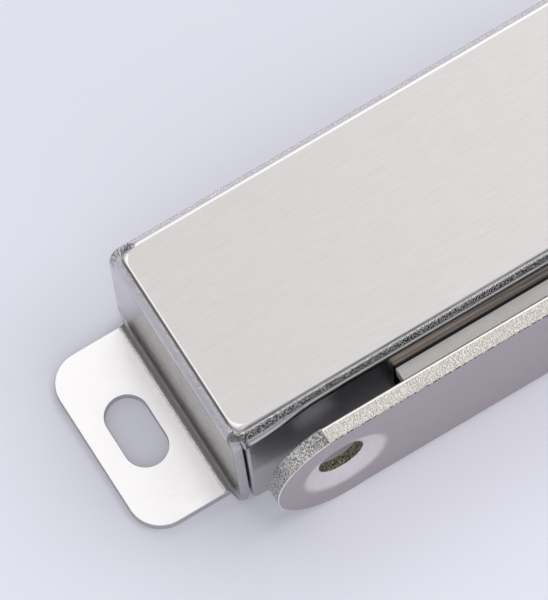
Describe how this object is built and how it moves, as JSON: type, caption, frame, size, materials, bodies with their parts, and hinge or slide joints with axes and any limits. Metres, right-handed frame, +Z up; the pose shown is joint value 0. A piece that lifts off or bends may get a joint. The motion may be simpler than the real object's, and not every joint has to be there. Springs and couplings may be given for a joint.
{
  "type": "magnetic catch",
  "caption": "Magnetic catch: folded stainless casing with a slotted ear at each end, a magnet between steel pole plates inside, and a flat striker with round ends.",
  "frame": {"origin": "middle of the pattern of the two ear slots, on the mounting face", "axes": "+X along the catch from ear to ear, -Y out of the front towards the striker, +Z up from the mounting face"},
  "size_m": [0.0816, 0.0283, 0.0172],
  "materials": {
    "stainless": "brushed top, bright polished walls and ears",
    "plated_steel": "dull rolled plating",
    "striker_steel": "satin face, rough sheared edges",
    "ferrite": "ground, matt",
    "moulding": "fine matt moulding"
  },
  "bodies": {
    "catch": {"case": "stainless", "holder": "moulding", "retainer": "moulding", "pole_plate_upper": "plated_steel", "pole_plate_lower": "plated_steel", "magnet": "ferrite"},
    "striker": {"striker": "striker_steel"}
  },
  "joints": [
    {"name": "striker_release", "type": "slide", "parent": "catch", "child": "striker", "axis": [0, -1, 0], "range_m": [0, 0.03]}
  ]
}
